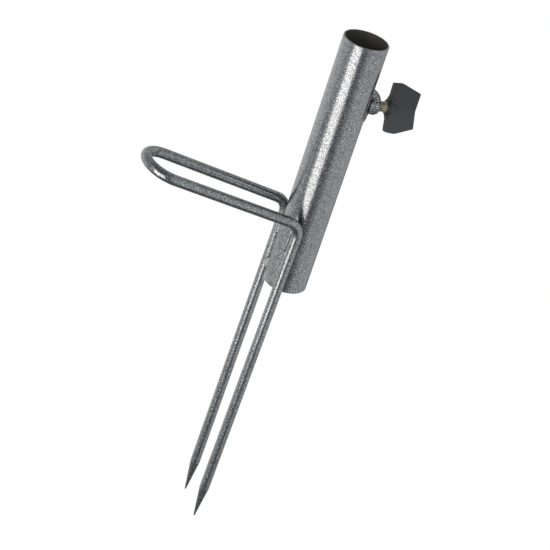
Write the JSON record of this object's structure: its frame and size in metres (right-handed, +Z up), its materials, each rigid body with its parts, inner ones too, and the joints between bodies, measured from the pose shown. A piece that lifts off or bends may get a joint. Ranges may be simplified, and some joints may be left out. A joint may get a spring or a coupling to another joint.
{
  "type": "ground spike for a round pole",
  "caption": "Steel tube socket on a two-pronged ground stake with a U-shaped foot step and a wing screw that clamps a round pole.",
  "frame": {"origin": "centre of the socket tube's lower end", "axes": "+Z up the socket tube, -X out along the foot step, +X out along the wing screw"},
  "size_m": [0.2438, 0.0572, 0.5434],
  "materials": {
    "vein_paint": "silver-vein hammertone paint on steel",
    "yellow_zinc": "zinc plated, yellow passivated",
    "black_plastic": "fine matt moulded nylon"
  },
  "bodies": {
    "spike": {"socket_tube": "vein_paint", "spike_fork": "vein_paint", "clamp_nut": "vein_paint", "nut_weld_upper": "vein_paint", "nut_weld_lower": "vein_paint", "fork_weld_near_upper": "vein_paint", "fork_weld_near_lower": "vein_paint", "fork_weld_far_upper": "vein_paint", "fork_weld_far_lower": "vein_paint"},
    "clamp_stud": {"clamp_stud": "yellow_zinc"},
    "wing_knob": {"wing_knob": "black_plastic"}
  },
  "joints": [
    {"name": "screw_travel", "type": "slide", "parent": "spike", "child": "clamp_stud", "axis": [1, 0, 0], "range_m": [-0.0075, 0.006]},
    {"name": "knob_turn", "type": "hinge", "parent": "clamp_stud", "child": "wing_knob", "pos_m": [0.03972, 0, 0.198], "axis": [1, 0, 0], "range_deg": [-1800, 1440]}
  ],
  "couplings": [
    {"joint": "knob_turn", "follows": "screw_travel", "rad_per_m": 4188.8}
  ]
}
